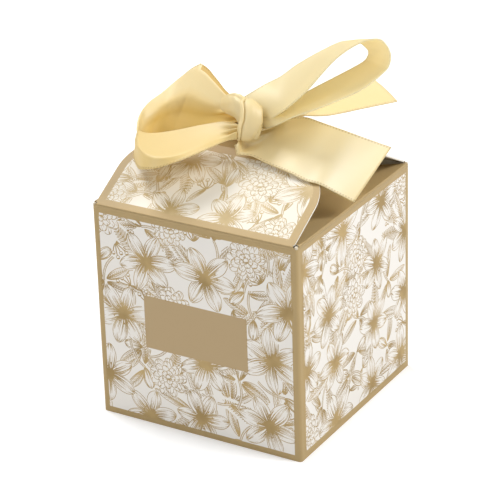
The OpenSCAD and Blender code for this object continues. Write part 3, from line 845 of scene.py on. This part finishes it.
def closed_sheet(name, shell, run, u, sides, turned):
    """A closed mesh from the two layers of a strip, with its own flat lay-out as UVs."""
    _, m, n, _ = shell.shape
    index = np.arange(2 * m * n).reshape(2, m, n)
    faces = np.concatenate([quads(index[0], True), quads(index[1]),
                            quads(index[:, 0, :]), quads(index[:, -1, :], True),
                            quads(index[:, :, 0], True), quads(index[:, :, -1])])
    piece = add_piece(name, shell, faces.tolist(), sides, "bow")
    lay_flat(piece.data, faces, np.tile((u * WIDTH)[:, None], (2, 1, 1)), run)
    slot = np.zeros(len(faces), int)
    one = (m - 1) * (n - 1)
    slot[one:2 * one] = 1
    if turned is not None:
        strip = (u[:-1, None] > turned[0]) & (np.arange(n - 1)[None] > turned[1])
        slot[:2 * one][np.tile(strip.reshape(-1), 2)] = 2
    piece.data.polygons.foreach_set("material_index", slot)
    return piece


# Painted light: the right loop's satin is a paler copy of the plain satin and its inside is paler
# still, and a darker golden band round the loop's far turn is painted shade.
lit_satin = woven("satin_lit", (0.91, 0.82, 0.52, 1), (0.93, 0.86, 0.58, 1), (0.89, 0.76, 0.44, 1),
             (0.98, 0.92, 0.72, 1), 0.42, 1.3, 0.5)
lit_satin_inside = woven("satin_lit_inside", (0.98, 0.90, 0.64, 1), (0.98, 0.92, 0.68, 1),
                  (0.96, 0.85, 0.54, 1), (0.99, 0.92, 0.68, 1), 0.55, 0.35, 0.66,
                  lambda u, v: (span(v, 0.032, 0.008, 0.057, 0.010) * 0.6,
                                (0.90, 0.70, 0.34, 1)))
right_near = [(0.2, 0.08, 0), (0.42, 0.05, 0.17), (0.62, 0.02, 0.34), (0.84, 0.08, 0.57),
              (1.14, 0.33, 0.98), (1.42, 0.5, 1.2), (1.67, 0.55, 1.28), (1.8, 0.54, 1.22),
              (1.87, 0.52, 1.11), (1.88, 0.48, 1), (1.82, 0.43, 0.88), (1.55, 0.28, 0.63),
              (1.19, 0.09, 0.44), (0.92, 0.01, 0.31), (0.6, 0, 0.16), (0.12, 0.04, -0.04)]
right_far = [(-0.29, 0.2, 0.2), (-0.03, 0.43, 0.38), (0.08, 0.68, 0.43), (0.23, 0.9, 0.56),
             (0.5, 1.07, 0.74), (0.78, 1.19, 0.89), (1.02, 1.21, 0.91), (1.12, 1.2, 0.88),
             (1.18, 1.2, 0.82), (1.19, 1.16, 0.75), (1.12, 1.12, 0.66), (0.84, 0.98, 0.48),
             (0.53, 0.83, 0.29), (0.38, 0.64, 0.19), (0.3, 0.36, 0.06), (0.04, 0.12, -0.04)]
loop_right = ribbon("satin_loop_right", [right_near, right_far], (0, 1), (0, 0.006), 0.0003, 2,
                    0.4, (lit_satin, lit_satin_inside))
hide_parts("loop_right")

# Ribbon, left loop. A shelf that leans back, with its near side bent down in a lip and a high
# back, whose top edge is turned over. The rims run from the lip over its fold and the turned
# crest to the far edge, and the shares place them across the ribbon.
# Painted shade: the loop's outer face, its shelf and lip, is a darker and more golden copy of the
# plain satin.
golden = woven("satin_shaded", (0.80, 0.63, 0.26, 1), (0.83, 0.67, 0.30, 1),
               (0.76, 0.57, 0.20, 1), (0.92, 0.74, 0.31, 1), 0.42, 1.1, 0.3)
# Painted shade: inside the loop the plain satin, with the lower part of the loop's back half
# painted deep orange.
hollow = woven("satin_hollow", (0.93, 0.79, 0.43, 1), (0.95, 0.83, 0.49, 1),
               (0.91, 0.73, 0.35, 1), (0.97, 0.82, 0.42, 1), 0.45, 0.9, 0.32,
               lambda u, v: (span(v, 0.045, 0.008, 1.0, 0.1) * u.falls(0.0125, 0.007) * 0.8,
                             (0.93, 0.62, 0.12, 1)))
# Painted shade: the turned-over strip beyond the crest is a darker copy of the satin.
shaded_turned_edge = woven("satin_turned_shade", (0.70, 0.50, 0.16, 1), (0.74, 0.54, 0.19, 1),
                    (0.64, 0.44, 0.12, 1), (0.85, 0.60, 0.18, 1), 0.5, 0.4)
left_lip = [(-0.06, -0.27, -0.14), (-0.21, -0.4, -0.19), (-0.37, -0.68, -0.25),
            (-0.59, -0.92, -0.34), (-0.86, -1.06, -0.45), (-1.06, -1.08, -0.5),
            (-1.22, -0.98, -0.56), (-1.46, -0.71, -0.6), (-1.64, -0.46, -0.6),
            (-1.72, -0.2, -0.6), (-1.65, 0.06, -0.56), (-1.42, 0.21, -0.51), (-1.12, 0.23, -0.49),
            (-0.8, 0.18, -0.4), (-0.48, 0.07, -0.22), (-0.14, 0.02, -0.02)]
left_fold = [(-0.08, -0.24, -0.12), (-0.24, -0.35, -0.15), (-0.42, -0.6, -0.2),
             (-0.63, -0.87, -0.28), (-0.87, -1.02, -0.31), (-1.1, -0.98, -0.32),
             (-1.34, -0.8, -0.33), (-1.58, -0.52, -0.38), (-1.7, -0.26, -0.4), (-1.73, 0, -0.39),
             (-1.64, 0.24, -0.35), (-1.4, 0.38, -0.27), (-1.08, 0.34, -0.24),
             (-0.76, 0.28, -0.16), (-0.43, 0.16, -0.02), (-0.14, 0.06, 0.06)]
left_far = [(-0.08, -0.1, -0.04), (-0.36, -0.11, -0.03), (-0.72, -0.19, -0.12),
            (-1.04, -0.26, -0.22), (-1.34, -0.34, -0.29), (-1.54, -0.36, -0.31),
            (-1.68, -0.28, -0.29), (-1.79, -0.04, -0.2), (-1.82, 0.24, -0.13),
            (-1.72, 0.48, -0.03), (-1.57, 0.72, 0.13), (-1.29, 0.82, 0.35), (-0.93, 0.61, 0.27),
            (-0.65, 0.42, 0.18), (-0.4, 0.27, 0.1), (-0.1, 0.1, 0.14)]
curl = np.array((0, 0, 0, 0, 0, 0, 0, 0, 0, 0, 0.25, 1, 1, 1, 0.8, 0.5))[:, None]
crest = (np.array(left_far) + curl * 0.1 * (np.array(left_fold) - left_far)
         + curl * (0.035, -0.058, 0.03))
belly = np.array((0, 0, 0, 0, 0, 0, 0, 0, 0, 0.3, 0.7, 1, 1, 0.8, 0.4, 0))[:, None]
middle = np.array(left_fold) + 0.4 * (crest - left_fold) + belly * (0.047, -0.077, 0.042)
loop_left = ribbon("satin_loop_left", [left_lip, left_fold, middle, crest, left_far],
                   (0, 0.2, 0.48, 0.9, 1), (0.003, 0.018), 0.0002, 3, 1.9,
                   (hollow, golden, shaded_turned_edge), peak=11, turned=(0.9, 88))
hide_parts("loop_left")

# Ribbon, front tail. Out over the right-hand end of the lid, with a nearly square cut over the
# right wall. Its middle is painted paler: a painted highlight where it takes the light.
# The pale band along the middle of the tail is a painted highlight.
sheen = woven("satin_sheen", (0.93, 0.79, 0.43, 1), (0.95, 0.83, 0.49, 1),
              (0.91, 0.73, 0.35, 1), (0.97, 0.82, 0.42, 1), 0.42, 1.3, 0.32,
              lambda u, v: (span(v, 0.010, 0.012, 0.038, 0.008) * 0.7, (0.96, 0.90, 0.66, 1)))
front_near = [(-0.14, -0.24, -0.26), (-0.1, -0.23, -0.44), (0.12, -0.2, -0.42),
              (0.33, -0.22, -0.46), (0.55, -0.26, -0.48), (0.77, -0.3, -0.5),
              (1.02, -0.33, -0.55), (1.24, -0.33, -0.565), (1.43, -0.23, -0.69),
              (1.62, -0.07, -0.85)]
front_far = [(0.13, 0.02, -0.06), (0.19, 0.17, -0.07), (0.29, 0.4, -0.07), (0.43, 0.52, -0.05),
             (0.57, 0.57, -0.05), (0.77, 0.57, -0.08), (1, 0.58, -0.12), (1.24, 0.6, -0.17),
             (1.48, 0.71, -0.27), (1.7, 0.87, -0.39)]
tail_front = ribbon("satin_tail_front", [front_near, front_far], (0, 1), (0.009, 0), 0.0002, 2,
                    0.3, (sheen, sheen))
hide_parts("tail_front")

# Ribbon, back tail. Away behind the right loop, level over the back lid flap. The plain satin
# is that of the knot and of the ribbon's run through the tabs too.
satin = woven("satin_face", (0.93, 0.79, 0.43, 1), (0.95, 0.83, 0.49, 1), (0.91, 0.73, 0.35, 1),
              (0.97, 0.82, 0.42, 1), 0.42, 1.3)
back_near = [(0.12, 0.08, -0.02), (0.18, 0.28, -0.05), (0.22, 0.5, -0.1), (0.36, 0.74, -0.14),
             (0.62, 1.1, -0.19), (0.92, 1.54, -0.19), (1.22, 1.98, -0.19)]
back_far = [(0, 0.16, 0.1), (-0.02, 0.34, 0.06), (0.03, 0.6, 0), (0.1, 0.98, -0.06),
            (0.22, 1.52, -0.12), (0.35, 2.06, -0.14), (0.5, 2.5, -0.12)]
tail_back = ribbon("satin_tail_back", [back_near, back_far], (0, 1), (0.022, 0), 0.0006, 3, 2.2,
                   (satin, satin))
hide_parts("tail_back")

# Ribbon, run through the tabs. A short piece of the ribbon in each tab's slot, parted at the
# middle of the ridge so that each turns with its own flap.
for node in ("thread_front", "thread_back"):
    dress(node, satin)

# Knot core. The gathered ribbon inside the knot, pleated along it, with a fold at upper left.
# At place x and angle a the surface is (x, back - deep sin a, rise + tall cos a), with a ripple
# on deep and tall. Each row of core_rings holds x, rise, tall, deep and back, in widths.
KNOT_TURN, KNOT_LEAN = 31, 25
CORE_ROUND, CORE_LONG = 72, 60


def knot_frame(points):
    """Puts points given right, away and up of the knot, in metres, into the part's frame: the
    knot is turned by KNOT_TURN about Z and leans back by KNOT_LEAN."""
    turn, lean = math.radians(KNOT_TURN), math.radians(KNOT_LEAN)
    right = np.array([math.cos(turn), math.sin(turn), 0])
    level = np.array([-math.sin(turn), math.cos(turn), 0])
    away = level * math.cos(lean) - np.array([0, 0, math.sin(lean)])
    up = level * math.sin(lean) + np.array([0, 0, math.cos(lean)])
    return KNOT + points[..., :1] * right + points[..., 1:2] * away + points[..., 2:] * up


core_rings = np.array([(-0.48, 0.26, 0.02, 0.02, 0.75), (-0.43, 0.265, 0.08, 0.1, 0.6),
                       (-0.375, 0.265, 0.115, 0.12, 0.42), (-0.3, 0.262, 0.14, 0.14, 0.22),
                       (-0.22, 0.235, 0.17, 0.15, 0.09), (-0.14, 0.15, 0.23, 0.16, 0.02),
                       (-0.05, 0.04, 0.275, 0.16, 0), (0.07, 0, 0.25, 0.15, 0),
                       (0.12, 0, 0.18, 0.13, 0), (0.15, 0, 0.1, 0.08, 0),
                       (0.155, 0, 0.01, 0.01, 0)])
k = np.linspace(0, len(core_rings) - 1, CORE_LONG)
place_x, rise, tall, deep, back = (np.interp(k, np.arange(len(core_rings)), column)
                                   for column in core_rings.T)
a = np.linspace(0, 2 * np.pi, CORE_ROUND, endpoint=False)[:, None]
groove = np.exp(-((a - 0.85 - 0.8 * place_x) / 0.14) ** 2)
ripple = 1 + 0.03 * np.sin(7 * a + 5 * place_x) - 0.1 * groove
core_grid = np.stack(np.broadcast_arrays(place_x + 0 * a, back - deep * np.sin(a) * ripple,
                                         rise + tall * np.cos(a) * ripple), -1) * WIDTH
index = np.arange(CORE_ROUND * CORE_LONG).reshape(CORE_ROUND, CORE_LONG)
caps = [index[::-1, 0].tolist(), index[:, -1].tolist()]
core = add_piece("satin_knot_core", knot_frame(core_grid),
                 quads(np.pad(index, ((0, 1), (0, 0)), mode="wrap")).tolist() + caps,
                 (satin,), "bow")
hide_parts("knot_core")

# Knot wrap. The band pulled tight over the knot, wide at the left above and drawn in at the
# right. Angle a runs round the knot and w round the band's own cross-section, q across the band;
# the surface is (across, -(deep + skin) sin a, WRAP_RISE + (tall + skin) cos a), in mm.
WRAP_ROUND, WRAP_THIN = 120, 72
WRAP_RISE = 0.6


def tube(name, grid, across, along, body):
    """A closed mesh from a grid that wraps round both ways, with flat lay-out UVs in metres."""
    m, n, _ = grid.shape
    wrap = np.pad(np.arange(m * n).reshape(m, n), ((0, 1), (0, 1)), mode="wrap")
    piece = add_piece(name, grid, quads(wrap).tolist(), (satin,), body)
    corner = np.arange((m + 1) * (n + 1)).reshape(m + 1, n + 1)
    lay_flat(piece.data, quads(corner), np.append(across, across[-1])[:, None],
             np.append(along, along[-1]))
    return piece


a = np.linspace(0, 2 * np.pi, WRAP_ROUND, endpoint=False)
w = np.linspace(0, 2 * np.pi, WRAP_THIN, endpoint=False)[:, None]
q = np.sign(np.cos(w)) * np.abs(np.cos(w)) ** 0.8
c = np.cos(a)
left_side = np.interp(c, (-1, -0.95, -0.4, -0.03, 0.37, 0.82, 1),
                      (-4, -4, -3.8, -3.05, -2.8, -3, -2.2))
right_side = np.interp(c, (-1, -0.76, -0.24, 0.5, 0.85, 1), (0.6, 1.7, 3.2, 3.3, 3.2, 2.9))
across = (left_side + right_side) / 2 + q * (right_side - left_side) / 2
stations = (-1, -0.5, 0, 0.5, 0.9, 1)
top_tall = np.interp(q, stations, (5.6, 5.8, 5.3, 4.4, 3.5, 3.1))
low_tall = np.interp(q, stations, (5.5, 5.7, 5.7, 5.6, 5.4, 5.2))
tall = low_tall + (top_tall - low_tall) * (0.5 + 0.5 * c)
deep = np.interp(q, stations, (3.4, 3.9, 4.1, 3.9, 3.4, 3.0))
line = q + 0.6
groove, ridge = np.exp(-(line / 0.06) ** 2), np.exp(-((line + 0.2) / 0.13) ** 2)
outer = 0.30 - 0.85 * groove + 0.25 * ridge + 0.08 * np.sin(4 * q + 2 * a)
skin = np.where(np.sin(w) > 0, outer, 0.25) * np.abs(np.sin(w)) ** 0.5 * np.sign(np.sin(w))
wrap_grid = np.stack([across, -(deep + skin) * np.sin(a), WRAP_RISE + (tall + skin) * c],
                     -1) / 1000
wrap = tube("satin_wrap", knot_frame(wrap_grid), (q[:, 0] + 1) * 0.0033 + 0.0068, a * 0.005,
            "bow")
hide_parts("knot_wrap")
